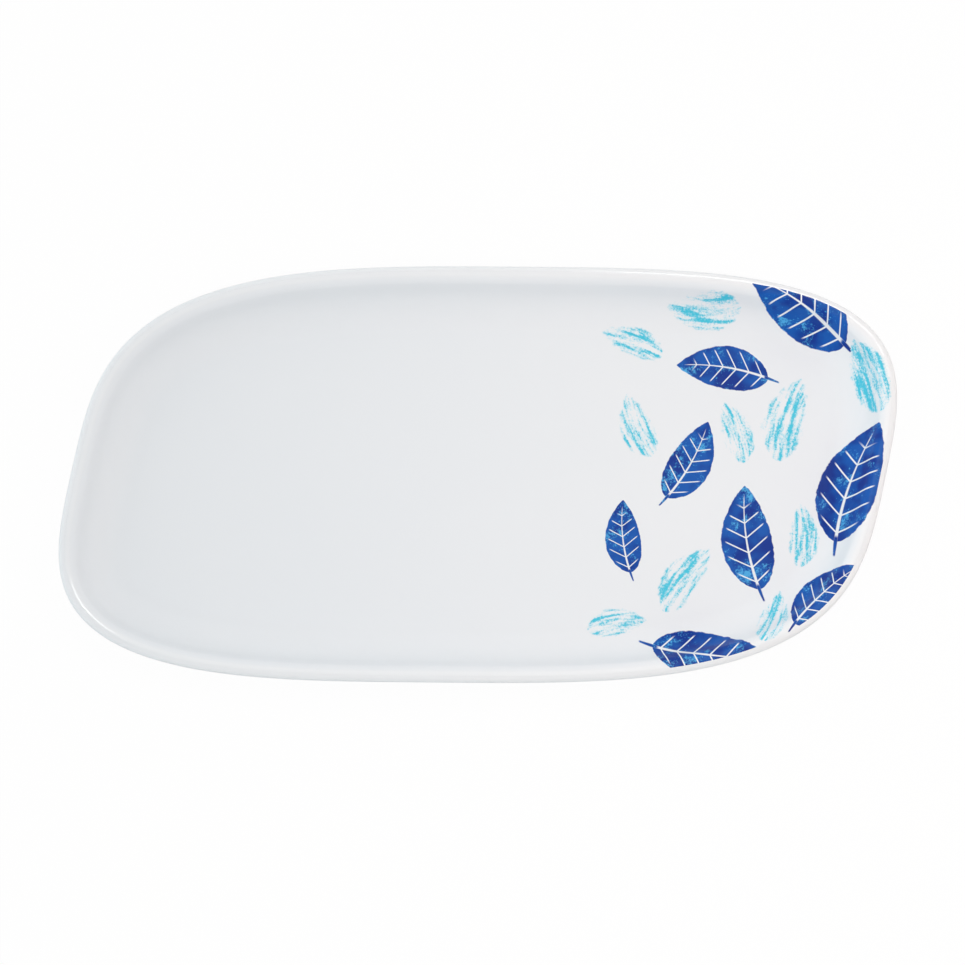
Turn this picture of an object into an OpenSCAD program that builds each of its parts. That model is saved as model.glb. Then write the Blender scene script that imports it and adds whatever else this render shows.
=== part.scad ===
// Oval serving platter with leaning ends, moulded in one piece with a printed and glazed face.
// Millimetres. +X runs along the platter, +Z is up, and the origin is under its centre on the table.

/* [Outline] */
// Length through the centre, from end to end
mid_length = 350; // [320:1:400]
// Width across the two long sides
width = 183; // [165:1:220]
// Lean of the two ends, in degrees
lean_angle = 11.4; // [0:0.1:14]
// Squareness of the outline: 2 is an ellipse, and more is squarer
squareness = 3.36; // [2.6:0.02:3.6]

/* [Shell] */
// Depth of the well, from the top of the lip to the floor
well_depth = 16; // [13:0.5:18]
// Thickness of the moulded shell
shell_thickness = 3.6; // [3:0.1:4]
// Slope of the wall above the cove, in degrees from level
wall_slope = 62; // [50:1:66]
// Radius of the cove between the wall and the floor
cove_radius = 18; // [12:0.5:20]
// Width of the level lip, from the outline to the bend
lip_width = 3.5; // [3:0.1:5]
// Radius of the bend between the lip and the wall
lip_bend_radius = 4.4; // [4.4:0.1:6]

/* [Foot ring] */
// Height of the foot ring under the shell
foot_height = 2.4; // [1.6:0.1:3]
// Radius of the ring's rounded nose
foot_nose_radius = 1.8; // [1.4:0.1:2]
// Depth that is ground off the nose, to leave a flat land
foot_grind = 0.35; // [0.2:0.05:0.6]
// Distance of the ring's middle inside the edge of the floor
foot_inset = 3.5; // [2.5:0.1:4]

/* [Printed face] */
// Distance of the foil's edge inside the outline
foil_margin = 2.4; // [2.1:0.1:2.9]
// Thickness of the printed foil
foil_thickness = 0.2; // [0.15:0.05:0.3]
// Thickness of the clear glaze over the foil
glaze_thickness = 0.2; // [0.15:0.05:0.3]

/* [Hidden] */

// Facets: stations round the outline, and steps along each round of the section
stations = 84;
cove_steps = 6;
bend_steps = 3;
edge_steps = 6;
foot_steps = 5;

// Draft of the foot ring's two sides, in degrees from upright
foot_draft = 15;

// Outline
half_length = mid_length / 2;
half_width = width / 2;
lean = tan(lean_angle);

// Heights
floor_z = foot_height + shell_thickness;
height = floor_z + well_depth;
underside_z = floor_z - shell_thickness;

// The section is drawn as [inset from the outline, height].
edge_radius = shell_thickness / 2;
edge_centre = [edge_radius, height - edge_radius];
bend_centre = [lip_width, height - lip_bend_radius];

// The straight stretch of the wall runs from the bend down to the cove.
rounds = lip_bend_radius + cove_radius;
wall_run = (well_depth - rounds * (1 - cos(wall_slope))) / sin(wall_slope);
cove_centre = [lip_width + rounds * sin(wall_slope) + wall_run * cos(wall_slope), floor_z + cove_radius];

// Foot ring, with its nose reaching below the table by what is ground off
foot_centre = [cove_centre[0] + foot_inset, foot_nose_radius - foot_grind];
foot_side_rise = underside_z - foot_centre[1] + foot_nose_radius * sin(foot_draft);
foot_half_width = foot_nose_radius * cos(foot_draft) + foot_side_rise * tan(foot_draft);

// Depths below the finished face
glaze_depth = glaze_thickness;
seat_depth = glaze_thickness + foil_thickness;

// Points of an arc from angle a to angle b, in steps
function arc(centre, radius, a, b, steps) =
    [for (i = [0:steps])
        let (angle = a + (b - a) * i / steps)
        centre + radius * [cos(angle), sin(angle)]];

function reversed(list) = [for (i = [len(list) - 1:-1:0]) list[i]];

// The cove from the floor up to the wall, at a depth below the finished face
function cove(depth) = arc(cove_centre, cove_radius + depth, 270, 270 - wall_slope, cove_steps);

// The bend from the wall up to the level lip, at a depth below the finished face
function lip_bend(depth) = arc(bend_centre, lip_bend_radius - depth, 90 - wall_slope, 90, bend_steps);

// The face from the edge of the floor out to the foil's edge on the lip, at a depth below the finished face
function face(depth) = concat(cove(depth), lip_bend(depth), [[foil_margin, height - depth]]);

// A layer of the face between two depths
function layer(top, bottom) = concat(face(top), reversed(face(bottom)));

// The bare lip: up from the seat at the foil's edge, and round the edge to the lip's underside
function bare_lip() = concat([[foil_margin, height]], arc(edge_centre, edge_radius, 90, 270, edge_steps));

// The outside of the moulding, from the lip's underside down to the edge of the floor
function outside() = concat(reversed(lip_bend(shell_thickness)), reversed(cove(shell_thickness)));

// The foot ring from its outer side round the nose to its inner side
function foot() = concat(
    [[foot_centre[0] - foot_half_width, underside_z]],
    arc(foot_centre, foot_nose_radius, 180 + foot_draft, 360 - foot_draft, foot_steps),
    [[foot_centre[0] + foot_half_width, underside_z]]
);

// The moulding from the seat of the foil, over the lip and down to the recess inside the foot ring
function shell() = concat(face(seat_depth), bare_lip(), outside(), foot());

// A point of the outline at the given turn, moved inwards along the outline's normal.
// The outline is the superellipse |x / half_length| ^ n + |y / half_width| ^ n = 1, sheared by the lean.
function outline(turn, inset) =
    let (
        power = 2 / squareness,
        x = half_length * signed_power(cos(turn), power),
        y = half_width * signed_power(sin(turn), power),
        rise_x = signed_power(cos(turn), 2 - power) / half_length,
        rise_y = signed_power(sin(turn), 2 - power) / half_width,
        normal = [rise_x, rise_y - lean * rise_x]
    )
    [x + lean * y, y] - inset * normal / norm(normal);

function signed_power(value, power) = sign(value) * pow(abs(value), power);

// Carries a section round the outline, and closes the first and the last ring with a flat face
module sweep(section) {
    rings = len(section);
    points = [for (place = section)
        for (i = [0:stations - 1])
            concat(outline(360 * i / stations, place[0]), place[1])];
    function at(ring, i) = ring * stations + i % stations;
    walls = [for (ring = [0:rings - 2])
        for (i = [0:stations - 1])
            [at(ring, i), at(ring, i + 1), at(ring + 1, i + 1), at(ring + 1, i)]];
    first = [for (i = [stations - 1:-1:0]) at(0, i)];
    last = [for (i = [0:stations - 1]) at(rings - 1, i)];
    polyhedron(points, concat([first], walls, [last]), convexity = 6);
}

// Everything under the table, which is ground off the foot ring
module ground() {
    translate([-mid_length, -width, -foot_height])
        cube([2 * mid_length, 2 * width, foot_height]);
}

module platter_body() {
    color("whitesmoke")
        difference() {
            sweep(shell());
            ground();
        }
}

module decor_foil() {
    color("cornflowerblue")
        sweep(layer(glaze_depth, seat_depth));
}

module glaze_film() {
    color("white", 0.4)
        sweep(layer(0, glaze_depth));
}

platter_body();
decor_foil();
glaze_film();
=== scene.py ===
import math

import bpy
import numpy as np
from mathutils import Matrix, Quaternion, Vector


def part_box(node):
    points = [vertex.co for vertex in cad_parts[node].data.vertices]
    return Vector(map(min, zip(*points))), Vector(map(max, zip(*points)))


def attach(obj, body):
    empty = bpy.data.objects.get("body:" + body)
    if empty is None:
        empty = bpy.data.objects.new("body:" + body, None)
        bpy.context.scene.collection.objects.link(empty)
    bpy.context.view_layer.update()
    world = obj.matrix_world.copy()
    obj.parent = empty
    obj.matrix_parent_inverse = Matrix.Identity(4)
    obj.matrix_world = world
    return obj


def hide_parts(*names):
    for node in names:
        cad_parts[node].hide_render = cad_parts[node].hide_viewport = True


# An oval serving platter of white moulded melamine with a printed, glazed face.
# Metres, in the frame of the solids.
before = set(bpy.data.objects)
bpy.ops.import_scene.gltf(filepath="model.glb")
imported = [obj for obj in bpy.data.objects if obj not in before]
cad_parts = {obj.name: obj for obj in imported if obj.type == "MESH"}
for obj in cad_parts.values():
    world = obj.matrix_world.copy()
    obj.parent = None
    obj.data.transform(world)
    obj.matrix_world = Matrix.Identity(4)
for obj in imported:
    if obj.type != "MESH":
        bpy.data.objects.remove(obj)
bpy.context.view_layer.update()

# Sizes taken from the frame
MM = 0.001
body_low, body_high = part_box("platter_body")
foil_low, foil_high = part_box("decor_foil")
glaze_low, glaze_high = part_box("glaze_film")
HALF_WIDTH = (body_high.y - body_low.y) / 2
REACH = (body_high.x - body_low.x) / 2
HEIGHT = body_high.z
GLAZE_THICKNESS = glaze_high.z - foil_high.z
SEAT_DEPTH = GLAZE_THICKNESS + glaze_low.z - foil_low.z
FLOOR_Z = glaze_low.z + GLAZE_THICKNESS

# Outline: a superellipse whose ends lean, and half its length through the centre
SQUARENESS = 3.36
LEAN = math.tan(math.radians(11.4))
DUAL = SQUARENESS / (SQUARENESS - 1)
HALF_LENGTH = (REACH**DUAL - (LEAN * HALF_WIDTH) ** DUAL) ** (1 / DUAL)

# Section of the moulding
SHELL_THICKNESS = 3.6 * MM
WALL_SLOPE = math.radians(62)
COVE_RADIUS = 18 * MM
LIP_WIDTH = 3.5 * MM
LIP_BEND_RADIUS = 4.4 * MM
CROWN_RADIUS = 5 * MM
CROWN_TILT = math.radians(18)
FOOT_NOSE_RADIUS = 1.8 * MM
FOOT_GRIND = 0.35 * MM
FOOT_INSET = 3.5 * MM
FOOT_DRAFT = math.radians(15)
FOIL_MARGIN = 2.4 * MM
FOIL_EDGE_ROUND = 0.06 * MM
UNDERSIDE_Z = FLOOR_Z - SHELL_THICKNESS
WELL_DEPTH = HEIGHT - FLOOR_Z

# Points of the section are (inset from the outline, height), and directions are angles from the inward one.
UPWARD = 0.5 * math.pi
DOWNWARD = 1.5 * math.pi
ROUNDS = LIP_BEND_RADIUS + COVE_RADIUS
WALL_RUN = (WELL_DEPTH - ROUNDS * (1 - math.cos(WALL_SLOPE))) / math.sin(WALL_SLOPE)
WALL_TOP = (
    LIP_WIDTH + LIP_BEND_RADIUS * math.sin(WALL_SLOPE),
    HEIGHT - LIP_BEND_RADIUS * (1 - math.cos(WALL_SLOPE)),
)
COVE_CENTRE = (
    LIP_WIDTH + ROUNDS * math.sin(WALL_SLOPE) + WALL_RUN * math.cos(WALL_SLOPE),
    FLOOR_Z + COVE_RADIUS,
)
UNDER_BEND_CENTRE = (LIP_WIDTH, HEIGHT - LIP_BEND_RADIUS)
FOOT_CENTRE = (COVE_CENTRE[0] + FOOT_INSET, FOOT_NOSE_RADIUS - FOOT_GRIND)

# The lip is faintly crowned between its rounded edge and the bend, which meets the line of the wall.
CROWN_DROP = CROWN_RADIUS * (1 - math.cos(CROWN_TILT))
EDGE_RADIUS = (SHELL_THICKNESS - CROWN_DROP) / (1 + math.cos(CROWN_TILT))
EDGE_CENTRE = (EDGE_RADIUS, HEIGHT - SHELL_THICKNESS + EDGE_RADIUS)
CROWN_CENTRE = (
    EDGE_RADIUS + (CROWN_RADIUS - EDGE_RADIUS) * math.sin(CROWN_TILT),
    HEIGHT - CROWN_RADIUS,
)
CROWN_END = (CROWN_CENTRE[0] + CROWN_RADIUS * math.sin(CROWN_TILT), HEIGHT - CROWN_DROP)
IN_TO_WALL = WALL_TOP[0] - CROWN_END[0]
UP_TO_WALL = WALL_TOP[1] - CROWN_END[1]
SHORT_OF_WALL = IN_TO_WALL * math.sin(WALL_SLOPE) + UP_TO_WALL * math.cos(WALL_SLOPE)
BEND_RADIUS = SHORT_OF_WALL / (1 - math.cos(WALL_SLOPE - CROWN_TILT))
BEND_CENTRE = (
    CROWN_END[0] - BEND_RADIUS * math.sin(CROWN_TILT),
    CROWN_END[1] - BEND_RADIUS * math.cos(CROWN_TILT),
)

# How finely the meshes are cut
STATIONS = 480
COVE_STEPS = 20
BEND_STEPS = 12
CROWN_STEPS = 8
EDGE_STEPS = 20
FOOT_STEPS = 10
SHARP_ANGLE = math.radians(40)

# The rings that fill a level face lie at these shares of the way from its centre to its rim.
FINE_RINGS = np.arange(0.98, 0.24, -0.02)
COARSE_RINGS = np.array((0.9, 0.6, 0.3))


def arc(centre, radius, start, end, steps):
    """Points of an arc of the section, with both ends."""
    angles = np.linspace(start, end, steps + 1)
    return [(centre[0] + radius * math.cos(a), centre[1] + radius * math.sin(a)) for a in angles]


def cove(depth):
    """The cove from the floor up to the wall, at a depth below the finished face."""
    return arc(COVE_CENTRE, COVE_RADIUS + depth, DOWNWARD, DOWNWARD - WALL_SLOPE, COVE_STEPS)


def lip_bend(depth):
    """The bend from the wall up to the lip, at a depth below the finished face."""
    return arc(BEND_CENTRE, BEND_RADIUS - depth, UPWARD - WALL_SLOPE, UPWARD - CROWN_TILT, BEND_STEPS)


def crown(depth, start, end):
    """The lip's crowned top from one inset out to another, at a depth below the finished face."""
    radius = CROWN_RADIUS - depth
    angles = [math.acos((inset - CROWN_CENTRE[0]) / radius) for inset in (start, end)]
    return arc(CROWN_CENTRE, radius, *angles, CROWN_STEPS)


def face(depth):
    """The printed face from the edge of the floor out to the foil's edge on the lip."""
    start = CROWN_CENTRE[0] + (CROWN_RADIUS - depth) * math.sin(CROWN_TILT)
    return cove(depth) + lip_bend(depth)[:-1] + crown(depth, start, FOIL_MARGIN)


def bare_lip():
    """The lip outside the foil, over its rounded edge to its underside."""
    edge_start = EDGE_RADIUS * (1 - math.sin(CROWN_TILT))
    edge = arc(EDGE_CENTRE, EDGE_RADIUS, UPWARD + CROWN_TILT, DOWNWARD, EDGE_STEPS)
    return crown(0, FOIL_MARGIN, edge_start)[:-1] + edge


def outside():
    """The outside of the moulding, from the lip's underside down to the edge of the floor."""
    radius = LIP_BEND_RADIUS - SHELL_THICKNESS
    bend = arc(UNDER_BEND_CENTRE, radius, UPWARD, UPWARD - WALL_SLOPE, BEND_STEPS)
    return bend + cove(SHELL_THICKNESS)[::-1]


def foot():
    """The foot ring, from its outer side round the nose, ground flat on the table, to its inner side."""
    nose = arc(FOOT_CENTRE, FOOT_NOSE_RADIUS, math.pi + FOOT_DRAFT, 2 * math.pi - FOOT_DRAFT, FOOT_STEPS)
    flare = (UNDERSIDE_Z - nose[0][1]) * math.tan(FOOT_DRAFT)
    outer = (nose[0][0] - flare, UNDERSIDE_Z)
    inner = (nose[-1][0] + flare, UNDERSIDE_Z)
    return [outer] + [(inset, max(z, 0)) for inset, z in nose] + [inner]


def ring(inset, z):
    """Points round the outline at an inset and a height, one for each station."""
    turn = np.arange(STATIONS) * 2 * math.pi / STATIONS
    power = 2 / SQUARENESS
    c, s = np.cos(turn), np.sin(turn)
    x = HALF_LENGTH * np.sign(c) * np.abs(c) ** power
    y = HALF_WIDTH * np.sign(s) * np.abs(s) ** power
    rise_x = np.sign(c) * np.abs(c) ** (2 - power) / HALF_LENGTH
    rise_y = np.sign(s) * np.abs(s) ** (2 - power) / HALF_WIDTH
    normal = np.stack([rise_x, rise_y - LEAN * rise_x], 1)
    normal /= np.linalg.norm(normal, axis=1)[:, None]
    flat = np.stack([x + LEAN * y, y], 1) - inset * normal
    return np.column_stack([flat, np.full(STATIONS, z)])


def disc_rings(rim, shares):
    """Rings that fill a level face, drawn in from its rim towards the centre."""
    return [rim * (share, share, 1) for share in shares]


def swept(name, section, top_shares, body="root"):
    """A closed mesh: a section carried round the outline, with its first and last ring filled in level."""
    rings = [ring(inset, z) for inset, z in section]
    rings = disc_rings(rings[0], top_shares)[::-1] + rings + disc_rings(rings[-1], COARSE_RINGS)
    points = np.concatenate(rings)
    count = len(rings)
    top, bottom = len(points), len(points) + 1
    centres = [(0, 0, rings[0][0][2]), (0, 0, rings[-1][0][2])]
    step = [(i, (i + 1) % STATIONS) for i in range(STATIONS)]
    faces = [
        (r * STATIONS + i, (r + 1) * STATIONS + i, (r + 1) * STATIONS + j, r * STATIONS + j)
        for r in range(count - 1)
        for i, j in step
    ]
    last = (count - 1) * STATIONS
    faces += [(top, i, j) for i, j in step]
    faces += [(bottom, last + j, last + i) for i, j in step]
    mesh = bpy.data.meshes.new(name)
    mesh.from_pydata([tuple(p) for p in points] + centres, [], faces)
    mesh.polygons.foreach_set("use_smooth", [True] * len(mesh.polygons))
    mesh.set_sharp_from_angle(angle=SHARP_ANGLE)
    piece = bpy.data.objects.new(name, mesh)
    bpy.context.scene.collection.objects.link(piece)
    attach(piece, body)
    return piece


# Print: single leaves in two inks, which drift round the right-hand end.
# Each leaf is its middle in millimetres, its heading in degrees and its length in millimetres.
COBALT_LEAVES = (
    (137, 74, 146, 50),
    (163, -1, 70, 54),
    (105, 49, 172, 40),
    (118, -24, 98, 46),
    (90, 10, 62, 38),
    (64, -24, 96, 32),
    (100, -76, -8, 50),
    (150, -52, 42, 38),
)
TURQUOISE_LEAVES = (
    (167, 45, 110, 34),
    (134, 28, 74, 38),
    (126, -60, 72, 26),
    (90, -43, 54, 34),
    (110, 22, 108, 28),
    (69, 25, 112, 30),
    (66, 61, 158, 28),
    (97, 76, 178, 32),
    (139, -23, 90, 28),
    (60, -63, 10, 26),
)
COBALT, TURQUOISE = 1, 2

# Half breadth, bend and stem are shares of a leaf's length, and the room round it is a distance.
HALF_BREADTH = {COBALT: 0.24, TURQUOISE: 0.23}
LEAF_BEND = 0.22
STEM = 0.13
LEAF_ROOM = 7 * MM

# A blade's half breadth follows a power of the way from its base and a power of the way from its tip.
BASE_POWER = 0.62
TIP_POWER = 0.85
WIDEST = BASE_POWER / (BASE_POWER + TIP_POWER)
BREADTH_SCALE = 1 / (WIDEST**BASE_POWER * (1 - WIDEST) ** TIP_POWER)


def stamps():
    """Every leaf of the print with its ink and the side that it bends to."""
    inked = [(COBALT, leaf) for leaf in COBALT_LEAVES] + [(TURQUOISE, leaf) for leaf in TURQUOISE_LEAVES]
    return [(ink, leaf, LEAF_BEND * (-1) ** (k + 1)) for k, (ink, leaf) in enumerate(inked)]


def on_leaf(plan, ink, leaf, bend):
    """Where points of the plan lie on a leaf: along it from base to tip, and across it in half breadths."""
    x, y, heading, length = leaf
    turn = math.radians(heading)
    east, north = (plan / MM - (x, y)).T / length
    along = east * math.cos(turn) + north * math.sin(turn) + 0.5
    across = north * math.cos(turn) - east * math.sin(turn)
    return along, (across - bend * along * (1 - along)) / HALF_BREADTH[ink]


def gap_to_leaf(plan, ink, leaf, bend):
    """About how far points of the plan lie outside a leaf, in metres."""
    along, across = on_leaf(plan, ink, leaf, bend)
    length = leaf[3] * MM
    inner = along.clip(0, 1)
    breadth = BREADTH_SCALE * inner**BASE_POWER * (1 - inner) ** TIP_POWER
    beyond = np.maximum(-STEM - along, along - 1).clip(0)
    beside = (np.abs(across) - breadth).clip(0) * HALF_BREADTH[ink]
    return length * np.hypot(beyond, beside)


def lay_print(mesh):
    """Gives each face near a leaf that leaf's coordinates, ink and number."""
    leaves = stamps()
    count = len(mesh.polygons)
    centres = np.zeros(3 * count)
    normals = np.zeros(3 * count)
    mesh.polygons.foreach_get("center", centres)
    mesh.polygons.foreach_get("normal", normals)
    plan = centres.reshape(-1, 3)[:, :2]
    gaps = np.stack([gap_to_leaf(plan, *stamp) for stamp in leaves])
    nearest = gaps.argmin(0)
    printed = (gaps.min(0) < LEAF_ROOM) & (normals.reshape(-1, 3)[:, 2] > 0)
    inks = np.array([ink for ink, leaf, bend in leaves])
    ink = mesh.attributes.new("ink", "FLOAT", "FACE")
    ink.data.foreach_set("value", np.where(printed, inks[nearest], 0).astype(np.float32))
    number = mesh.attributes.new("leaf_number", "FLOAT", "FACE")
    number.data.foreach_set("value", np.where(printed, nearest, 0).astype(np.float32))

    corner_vertex = np.zeros(len(mesh.loops), dtype=np.int32)
    mesh.loops.foreach_get("vertex_index", corner_vertex)
    sizes = np.zeros(count, dtype=np.int32)
    mesh.polygons.foreach_get("loop_total", sizes)
    corner_leaf = np.repeat(np.where(printed, nearest, -1), sizes)
    points = np.zeros(3 * len(mesh.vertices))
    mesh.vertices.foreach_get("co", points)
    corners = points.reshape(-1, 3)[corner_vertex, :2]
    places = np.zeros((len(corners), 2))
    for k, stamp in enumerate(leaves):
        mine = corner_leaf == k
        places[mine] = np.stack(on_leaf(corners[mine], *stamp), 1)
    layer = mesh.uv_layers.new(name="leaf")
    layer.uv.foreach_set("vector", places.astype(np.float32).ravel())


# Refraction and waviness of the moulded and glazed surfaces
MELAMINE_IOR = 1.5
PEEL_DEPTH = 0.02 * MM


class Nodes:
    """A new material or world's node tree, with short ways to add the nodes that the looks need."""

    def __init__(self, owner):
        owner.use_nodes = True
        self.tree = owner.node_tree
        self.owner = owner

    def add(self, kind, values=(), **settings):
        """A node with its settings, whose inputs are linked to sockets or set to plain values."""
        node = self.tree.nodes.new(kind)
        for key, value in settings.items():
            setattr(node, key, value)
        for key, value in dict(values).items():
            self.put(node.inputs[key], value)
        return node

    def put(self, socket, value):
        """Links a socket to another, or sets its plain value."""
        if isinstance(value, bpy.types.NodeSocket):
            self.tree.links.new(value, socket)
        else:
            socket.default_value = value

    def calc(self, operation, *values):
        """What comes of a calculation with one to three numbers or sockets."""
        return self.add("ShaderNodeMath", dict(enumerate(values)), operation=operation).outputs[0]

    def blend(self, value, low, high, start=0.0, end=1.0):
        """A smooth step of a value from start to end, as the value goes from low to high."""
        values = {"Value": value, 1: low, 2: high, 3: start, 4: end}
        return self.add("ShaderNodeMapRange", values, interpolation_type="SMOOTHSTEP").outputs[0]

    def noise(self, vector, cells, detail=2.0, roughness=0.5):
        """Noise from 0 to 1, with a number of cells for each unit of the vector."""
        values = {"Vector": vector, "Scale": cells, "Detail": detail, "Roughness": roughness}
        return self.add("ShaderNodeTexNoise", values).outputs[0]

    def peel(self, vector, cells, strength):
        """The faint waviness of a moulded or glazed surface."""
        values = {"Strength": strength, "Distance": PEEL_DEPTH, "Height": self.noise(vector, cells)}
        return self.add("ShaderNodeBump", values).outputs[0]

    def mix(self, share, first, second):
        """A mix of two colours."""
        return self.add("ShaderNodeMix", {0: share, 6: first, 7: second}, data_type="RGBA").outputs[2]


def surface(name):
    """A new material's nodes, its shader and its coordinates in the frame."""
    nodes = Nodes(bpy.data.materials.new(name))
    shader = nodes.tree.nodes["Principled BSDF"]
    shader.inputs["IOR"].default_value = MELAMINE_IOR
    place = nodes.add("ShaderNodeTexCoord").outputs["Object"]
    return nodes, shader, place


# Whites and finish of the moulding and of the face
MOULDED_WHITE = (0.824, 0.871, 0.899, 1)
MOULDED_SHADE = (0.809, 0.861, 0.894, 1)
FOIL_WHITE = (0.774, 0.823, 0.855, 1)
FOIL_SHADE = (0.759, 0.813, 0.85, 1)
SATIN_ROUGHNESS = 0.45
ROUGHNESS_SPREAD = 0.03
RIM_ROUGHNESS = 0.07
FACE_SPECULAR = 0.2
POLISHED_FROM = HEIGHT - 0.3 * MM
SATIN_UP_TO = HEIGHT - 0.8 * MM

# The foot ring's land is ground, which adds to its roughness.
GROUND_ROUGHNESS = 0.4
GROUND_UP_TO = 0.02 * MM
UNGROUND_FROM = 0.06 * MM

# Painted light: the foil is painted paler at the top of the lip, towards the moulding's white, for the
# brighter light that the lip catches; this also softens the step to the bare lip's white.
PAINTED_LIP_LIGHT_FROM = HEIGHT - 0.8 * MM
PAINTED_LIP_LIGHT_FULL_FROM = HEIGHT - 0.15 * MM
PAINTED_LIP_LIGHT_SHARE = 0.9

# Noise in cells for each metre, and the part of its range that is used
CLOUD_CELLS = 18
WEAR_CELLS = 150
WEAR_RANGE = (0.3, 0.7)
SHELL_PEEL_CELLS = 420
SHELL_PEEL_STRENGTH = 0.12
GLAZE_PEEL_CELLS = 360
GLAZE_PEEL_STRENGTH = 0.1


def satin(nodes, place):
    """Roughness of a face from the mould, with a little wear."""
    smooth, worn = SATIN_ROUGHNESS - ROUGHNESS_SPREAD, SATIN_ROUGHNESS + ROUGHNESS_SPREAD
    return nodes.blend(nodes.noise(place, WEAR_CELLS, detail=3.0), *WEAR_RANGE, smooth, worn)


def polish_rim(nodes, shader, height):
    """A polished coat that comes in towards the top of the lip."""
    nodes.put(shader.inputs["Coat Weight"], nodes.blend(height, SATIN_UP_TO, POLISHED_FROM))
    nodes.put(shader.inputs["Coat Roughness"], RIM_ROUGHNESS)


def white_melamine():
    """White melamine, polished along the rim and ground matt under the foot ring."""
    nodes, shader, place = surface("white_melamine")
    cloud = nodes.noise(place, CLOUD_CELLS)
    nodes.put(shader.inputs["Base Color"], nodes.mix(cloud, MOULDED_SHADE, MOULDED_WHITE))
    height = nodes.add("ShaderNodeSeparateXYZ", {0: place}).outputs[2]
    ground = nodes.blend(height, UNGROUND_FROM, GROUND_UP_TO, 0.0, GROUND_ROUGHNESS)
    nodes.put(shader.inputs["Roughness"], nodes.calc("ADD", satin(nodes, place), ground))
    polish_rim(nodes, shader, height)
    nodes.put(shader.inputs["Normal"], nodes.peel(place, SHELL_PEEL_CELLS, SHELL_PEEL_STRENGTH))
    return nodes.owner


# Inks
COBALT_DEEP = (0.0005, 0.030, 0.263, 1)
COBALT_INK = (0.003, 0.092, 0.418, 1)
COBALT_PALE = (0.065, 0.374, 0.720, 1)
TURQUOISE_INK = (0.056, 0.540, 0.720, 1)
TURQUOISE_PALE = (0.390, 0.725, 0.834, 1)

# A face has the ink whose number its own number lies this near to.
INK_TOLERANCE = 0.4

# A leaf's drawing: places along it are shares of its length from the base, and breadths are half breadths.
# A pair is where a line or an edge starts to show and where it shows fully.
SIDE_VEINS = 7
VEIN_SLANT = 0.16
VEIN_EDGE = (0.065, 0.035)
VEIN_CLEARANCE = (0.12, 0.26)
VEINS_UP_TO = (0.84, 0.78)
RIB_AT_BASE, RIB_AT_TIP = 0.05, 0.012
RIB_TAPER_END = 0.9
RIB_EDGE = (-0.018, 0.012)
RIB_UP_TO = (0.93, 0.85)
STEM_AT_END, STEM_AT_LEAF = 0.035, 0.06
STEM_EDGE = (-0.02, 0.015)
STEM_UP_TO = (0.06, 0.03)
STEM_FADE = 0.02

# How fast the depth inside a leaf falls beyond its ends
END_FALL = -6.0

# Ragged edges and uneven ink: cells of noise are for each metre, and a pair is a range.
RAGGED_RANGE = (0.2, 0.8)
GRAIN_CELLS = 1100
GRAIN_SHARE = 0.5
COBALT_RAGGED_CELLS = 330
COBALT_RAGGED = (-0.03, 0.03)
COBALT_EDGE = (-0.015, 0.025)
POOL_CELLS = 95
POOL_RANGE = (0.35, 0.62)
MOTTLE_CELLS = 105
SPONGE_RANGE = (0.55, 0.70)
TURQUOISE_RAGGED_CELLS = 420
TURQUOISE_RAGGED = (-0.14, 0.10)
TURQUOISE_EDGE = (-0.08, 0.12)
BRUSH_RANGE = (0.38, 0.62)
TONE_RANGE = (0.46, 0.68)

# Streaks of the dry brush: their noise, its scale along and across a leaf, and the step between leaves
STREAK_CELLS = 1.5
STREAK_ALONG = 1.5
STREAK_ACROSS = 2.4
STREAK_STEP = 3.7


def leaf_depth(nodes, along, aside):
    """How far a place lies inside a leaf's edge, in half breadths."""
    inner = nodes.add("ShaderNodeClamp", {0: along}).outputs[0]
    base = nodes.calc("POWER", inner, BASE_POWER)
    tip = nodes.calc("POWER", nodes.calc("SUBTRACT", 1.0, inner), TIP_POWER)
    breadth = nodes.calc("MULTIPLY", nodes.calc("MULTIPLY", base, tip), BREADTH_SCALE)
    beyond = nodes.calc("ABSOLUTE", nodes.calc("SUBTRACT", along, inner))
    return nodes.calc("SUBTRACT", nodes.calc("MULTIPLY_ADD", beyond, END_FALL, breadth), aside)


def leaf_veins(nodes, along, aside, depth):
    """The bare midrib and side veins of a stamped leaf."""
    rib_breadth = nodes.blend(along, 0.0, RIB_TAPER_END, RIB_AT_BASE, RIB_AT_TIP)
    rib_depth = nodes.calc("SUBTRACT", rib_breadth, aside)
    rib = nodes.calc("MULTIPLY", nodes.blend(rib_depth, *RIB_EDGE), nodes.blend(along, *RIB_UP_TO))
    row = nodes.calc("MULTIPLY_ADD", aside, -VEIN_SLANT, along)
    beat = nodes.calc("FRACT", nodes.calc("MULTIPLY", row, float(SIDE_VEINS)))
    off_vein = nodes.calc("ABSOLUTE", nodes.calc("SUBTRACT", beat, 0.5))
    vein = nodes.calc("MULTIPLY", nodes.blend(off_vein, *VEIN_EDGE), nodes.blend(depth, *VEIN_CLEARANCE))
    vein = nodes.calc("MULTIPLY", vein, nodes.blend(along, *VEINS_UP_TO))
    return nodes.calc("MAXIMUM", rib, vein)


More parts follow.
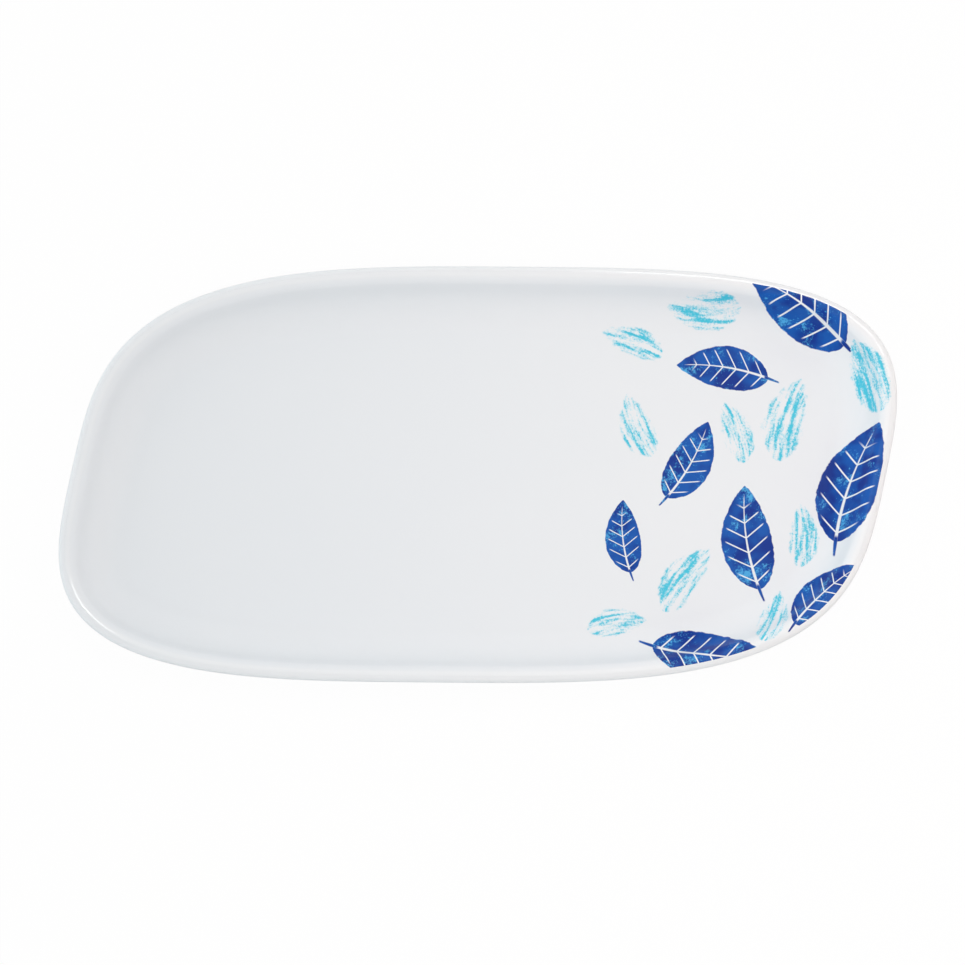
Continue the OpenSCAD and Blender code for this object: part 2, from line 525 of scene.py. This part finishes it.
def cobalt_leaf(nodes, place, along, aside, depth, grain):
    """A crisp stamp in wet, mottled cobalt: where it prints, and its colour there."""
    ragged = nodes.blend(nodes.noise(place, COBALT_RAGGED_CELLS), *RAGGED_RANGE, *COBALT_RAGGED)
    blade = nodes.blend(nodes.calc("ADD", depth, ragged), *COBALT_EDGE)
    stem_breadth = nodes.blend(along, -STEM, 0.0, STEM_AT_END, STEM_AT_LEAF)
    stem_depth = nodes.calc("SUBTRACT", stem_breadth, aside)
    stem = nodes.calc("MULTIPLY", nodes.blend(stem_depth, *STEM_EDGE), nodes.blend(along, *STEM_UP_TO))
    stem = nodes.calc("MULTIPLY", stem, nodes.blend(along, -STEM, -STEM + STEM_FADE))
    bare = leaf_veins(nodes, along, aside, depth)
    blade = nodes.calc("MULTIPLY", blade, nodes.calc("SUBTRACT", 1.0, bare))
    pool = nodes.noise(place, POOL_CELLS)
    mottle = nodes.noise(place, MOTTLE_CELLS, detail=4.0, roughness=0.6)
    sponge = nodes.calc("MULTIPLY_ADD", grain, GRAIN_SHARE, mottle)
    wash = nodes.mix(nodes.blend(pool, *POOL_RANGE), COBALT_DEEP, COBALT_INK)
    wash = nodes.mix(nodes.blend(sponge, *SPONGE_RANGE), wash, COBALT_PALE)
    return nodes.calc("MAXIMUM", blade, stem), wash


def turquoise_leaf(nodes, place, along, across, depth, grain, number):
    """A dry brush of turquoise drawn along the leaf: where it prints, and its colour there."""
    ragged = nodes.noise(place, TURQUOISE_RAGGED_CELLS, detail=3.0)
    ragged = nodes.blend(ragged, *RAGGED_RANGE, *TURQUOISE_RAGGED)
    blade = nodes.blend(nodes.calc("ADD", depth, ragged), *TURQUOISE_EDGE)
    reach = nodes.calc("MULTIPLY", along, STREAK_ALONG)
    spread = nodes.calc("MULTIPLY", across, STREAK_ACROSS)
    apart = nodes.calc("MULTIPLY", number, STREAK_STEP)
    drawn = nodes.add("ShaderNodeCombineXYZ", {0: reach, 1: spread, 2: apart}).outputs[0]
    dry = nodes.calc("MULTIPLY_ADD", grain, GRAIN_SHARE, nodes.noise(drawn, STREAK_CELLS))
    brush = nodes.calc("MULTIPLY", nodes.blend(dry, *BRUSH_RANGE), blade)
    return brush, nodes.mix(nodes.blend(dry, *TONE_RANGE), TURQUOISE_PALE, TURQUOISE_INK)


def printed_face():
    """White foil with the leaves in two inks under a clear glaze."""
    nodes, shader, place = surface("printed_face")
    leaf = nodes.add("ShaderNodeUVMap", uv_map="leaf").outputs[0]
    along, across, _ = nodes.add("ShaderNodeSeparateXYZ", {0: leaf}).outputs
    aside = nodes.calc("ABSOLUTE", across)
    ink = nodes.add("ShaderNodeAttribute", attribute_name="ink").outputs["Fac"]
    number = nodes.add("ShaderNodeAttribute", attribute_name="leaf_number").outputs["Fac"]
    depth = leaf_depth(nodes, along, aside)
    grain = nodes.calc("SUBTRACT", nodes.noise(place, GRAIN_CELLS, roughness=0.7), 0.5)
    stamp, wash = cobalt_leaf(nodes, place, along, aside, depth, grain)
    brush, tone = turquoise_leaf(nodes, place, along, across, depth, grain, number)
    stamp = nodes.calc("MULTIPLY", stamp, nodes.calc("COMPARE", ink, float(COBALT), INK_TOLERANCE))
    brush = nodes.calc("MULTIPLY", brush, nodes.calc("COMPARE", ink, float(TURQUOISE), INK_TOLERANCE))
    white = nodes.mix(nodes.noise(place, CLOUD_CELLS), FOIL_SHADE, FOIL_WHITE)
    height = nodes.add("ShaderNodeSeparateXYZ", {0: place}).outputs[2]
    # Painted light: the lip's top is painted paler, towards the moulding's white.
    painted_lip_light = nodes.blend(height, PAINTED_LIP_LIGHT_FROM, PAINTED_LIP_LIGHT_FULL_FROM, 0.0, PAINTED_LIP_LIGHT_SHARE)
    white = nodes.mix(painted_lip_light, white, MOULDED_WHITE)
    nodes.put(shader.inputs["Base Color"], nodes.mix(brush, nodes.mix(stamp, white, wash), tone))
    nodes.put(shader.inputs["Roughness"], satin(nodes, place))
    nodes.put(shader.inputs["Specular IOR Level"], FACE_SPECULAR)
    polish_rim(nodes, shader, height)
    nodes.put(shader.inputs["Normal"], nodes.peel(place, GLAZE_PEEL_CELLS, GLAZE_PEEL_STRENGTH))
    return nodes.owner


# The moulding, from the seat of the foil over the lip and down to the recess inside the foot ring
shell = swept("platter_shell", face(SEAT_DEPTH) + bare_lip() + outside() + foot(), COARSE_RINGS)
shell.data.materials.append(white_melamine())
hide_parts("platter_body")

# The printed foil with its clear glaze, one skin over the well with a faintly rounded edge
top, under = face(0), face(SEAT_DEPTH)
foil_edge = [
    (FOIL_MARGIN + FOIL_EDGE_ROUND, top[-1][1]),
    (FOIL_MARGIN, top[-1][1] - FOIL_EDGE_ROUND),
]
skin = swept("printed_skin", top[:-1] + foil_edge + under[::-1], FINE_RINGS)
lay_print(skin.data)
skin.data.materials.append(printed_face())
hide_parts("decor_foil", "glaze_film")

# Camera: the photograph's frame and view, from the front and steeply above, with a long lens
FRAME_PX = 965
LENGTH_PX = 837.2
CENTRE_PX = (478.6, 473.6)
ELEVATION = math.radians(78)
AZIMUTH = math.radians(0.5)
CAMERA_DISTANCE = 4.0
SENSOR_MM = 36
metres_per_px = 2 * REACH / LENGTH_PX
rim_centre = Vector((0, 0, HEIGHT - EDGE_RADIUS))
back = Vector((
    math.sin(AZIMUTH) * math.cos(ELEVATION),
    -math.cos(AZIMUTH) * math.cos(ELEVATION),
    math.sin(ELEVATION),
))
turned = (-back).to_track_quat("-Z", "Y")
right, up = turned @ Vector((1, 0, 0)), turned @ Vector((0, 1, 0))
aim = rim_centre + metres_per_px * (
    right * (FRAME_PX / 2 - CENTRE_PX[0]) - up * (FRAME_PX / 2 - CENTRE_PX[1])
)
camera = bpy.data.objects.new("camera", bpy.data.cameras.new("camera"))
camera.data.sensor_width = SENSOR_MM
camera.data.lens = SENSOR_MM * CAMERA_DISTANCE / (FRAME_PX * metres_per_px)
camera.location = aim + back * CAMERA_DISTANCE
camera.rotation_mode = "QUATERNION"
camera.rotation_quaternion = turned
bpy.context.scene.collection.objects.link(camera)
bpy.context.scene.camera = camera

# Floor
FLOOR_HALF = 3.0
FLOOR_GREY = (0.85, 0.85, 0.85, 1)
FLOOR_ROUGHNESS = 0.9
FLOOR_WHITE_SHARE = 0.97
floor_mesh = bpy.data.meshes.new("studio_floor")
floor_corners = [(x * FLOOR_HALF, y * FLOOR_HALF, 0) for x, y in ((-1, -1), (1, -1), (1, 1), (-1, 1))]
floor_mesh.from_pydata(floor_corners, [], [(0, 1, 2, 3)])
floor = bpy.data.objects.new("studio_floor", floor_mesh)
bpy.context.scene.collection.objects.link(floor)


def floor_paint():
    """Pale diffuse floor that is seen as nearly plain white, with the object's shadow kept."""
    nodes, shader, _ = surface("studio_floor")
    nodes.put(shader.inputs["Base Color"], FLOOR_GREY)
    nodes.put(shader.inputs["Roughness"], FLOOR_ROUGHNESS)
    rays = nodes.add("ShaderNodeLightPath").outputs
    seen = nodes.calc("MAXIMUM", rays["Is Camera Ray"], rays["Is Glossy Ray"])
    seen = nodes.calc("MAXIMUM", seen, rays["Is Transmission Ray"])
    white = nodes.add("ShaderNodeEmission", {"Strength": 1.0})
    share = nodes.calc("MULTIPLY", seen, FLOOR_WHITE_SHARE)
    mixed = nodes.add("ShaderNodeMixShader", {0: share, 1: shader.outputs[0], 2: white.outputs[0]})
    nodes.put(nodes.tree.nodes["Material Output"].inputs["Surface"], mixed.outputs[0])
    return nodes.owner


floor_mesh.materials.append(floor_paint())

# Light: an open tent, two fills that stay out of reflections, and a strip lamp for the lip's bright lines
TENT_LEFT, TENT_RIGHT = 1.4, 0.71
TENT_FRONT, TENT_BACK = 0.72, 0.89
TENT_SEAM = 0.01
NEUTRAL = (1, 1, 1)
WARM = (1, 0.7, 0.58)


def light_tent():
    """A world as bright in each direction as the side of the tent that lies there, and dark overhead."""
    nodes = Nodes(bpy.data.worlds.new("light_tent"))
    direction = nodes.add("ShaderNodeTexCoord").outputs["Generated"]
    parts = nodes.add("ShaderNodeSeparateXYZ", {0: direction}).outputs
    glow = 0.0
    for part, low, high in ((parts[0], TENT_LEFT, TENT_RIGHT), (parts[1], TENT_FRONT, TENT_BACK)):
        values = {"Value": part, 1: -TENT_SEAM, 2: TENT_SEAM, 3: low, 4: high}
        side = nodes.add("ShaderNodeMapRange", values).outputs[0]
        glow = nodes.calc("MULTIPLY_ADD", nodes.calc("MULTIPLY", part, part), side, glow)
    nodes.put(nodes.tree.nodes["Background"].inputs["Color"], (1, 1, 1, 1))
    nodes.put(nodes.tree.nodes["Background"].inputs["Strength"], glow)
    return nodes.owner


def softbox(name, place, size, power, colour=NEUTRAL, mirrored=False, turn=0):
    """An area lamp, turned in degrees about its aim at the platter, that lights it or only shows mirrored."""
    lamp = bpy.data.lights.new(name, "AREA")
    lamp.shape = "RECTANGLE"
    lamp.size, lamp.size_y = size
    lamp.energy = power
    lamp.color = colour
    made = bpy.data.objects.new(name, lamp)
    made.location = place
    made.rotation_mode = "QUATERNION"
    aimed = (-Vector(place)).to_track_quat("-Z", "Y")
    made.rotation_quaternion = aimed @ Quaternion((0, 0, 1), math.radians(turn))
    made.visible_camera = False
    made.visible_glossy = mirrored
    made.visible_diffuse = not mirrored
    bpy.context.scene.collection.objects.link(made)


softbox("overhead_fill", place=(0.0, 0.0, 1.0), size=(1.0, 1.0), power=5.5)
softbox("right_fill", place=(0.35, 0.0, 0.45), size=(0.4, 0.4), power=0.8, colour=WARM)
softbox("strip_lamp", place=(0.286, 0.68, 1.62), size=(0.5, 0.2), power=3.6, mirrored=True, turn=-24)
bpy.context.scene.world = light_tent()
bpy.context.scene.view_settings.view_transform = "Standard"
